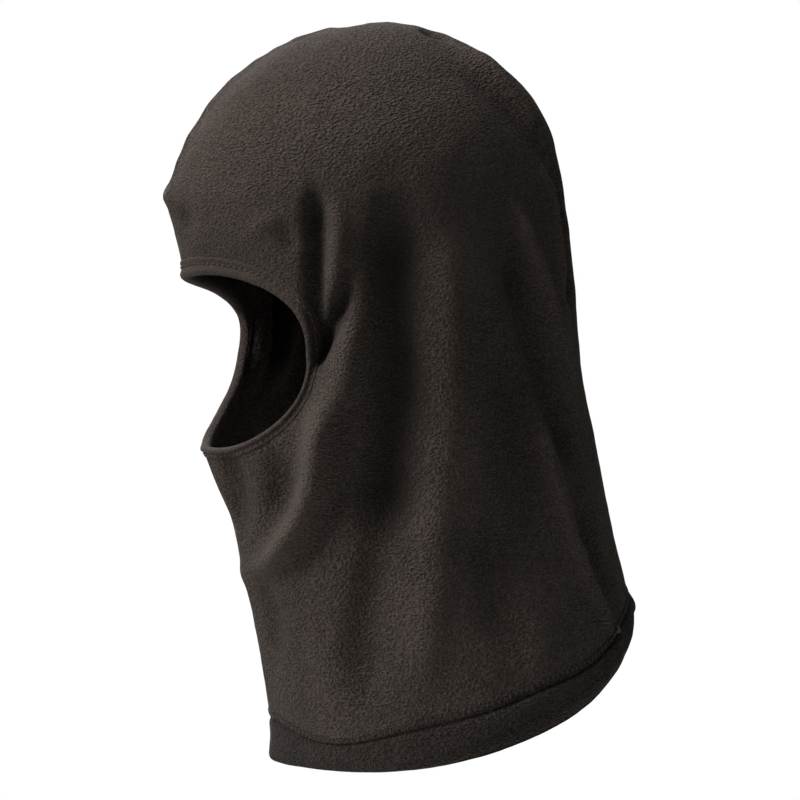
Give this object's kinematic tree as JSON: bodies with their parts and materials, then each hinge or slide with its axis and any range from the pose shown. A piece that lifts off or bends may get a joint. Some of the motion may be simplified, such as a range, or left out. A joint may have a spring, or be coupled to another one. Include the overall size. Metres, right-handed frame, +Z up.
{
  "type": "balaclava",
  "caption": "Fleece hood that covers the head and neck, with one bound oval face opening and a doubled hem at the neck.",
  "frame": {"origin": "centre of the wearer's head at its widest level, 92 mm under the top of the crown", "axes": "+Z up, the face looks along -Y, the wearer's left is +X"},
  "size_m": [0.1792, 0.2501, 0.3789],
  "materials": {
    "fleece": "matte",
    "binding": "matte",
    "thread": "satin",
    "elastic": "matte",
    "label": "satin"
  },
  "bodies": {
    "hood": {"hood_shell": "fleece", "seam_allowance": "fleece", "bottom_hem_band": "fleece", "face_binding": "binding", "face_elastic": "elastic", "face_topstitch": "thread", "hem_seam_thread": "thread", "hem_overlock_thread": "thread", "crown_back_seam_thread": "thread", "forehead_bartack": "thread", "hem_bartack": "thread"},
    "label": {"care_label": "label", "label_stitching": "thread"}
  },
  "joints": [
    {"name": "label_swing", "type": "hinge", "parent": "hood", "child": "label", "pos_m": [0, 0.11324, -0.13825], "axis": [1, 0, 0], "range_deg": [-80, 8]}
  ]
}
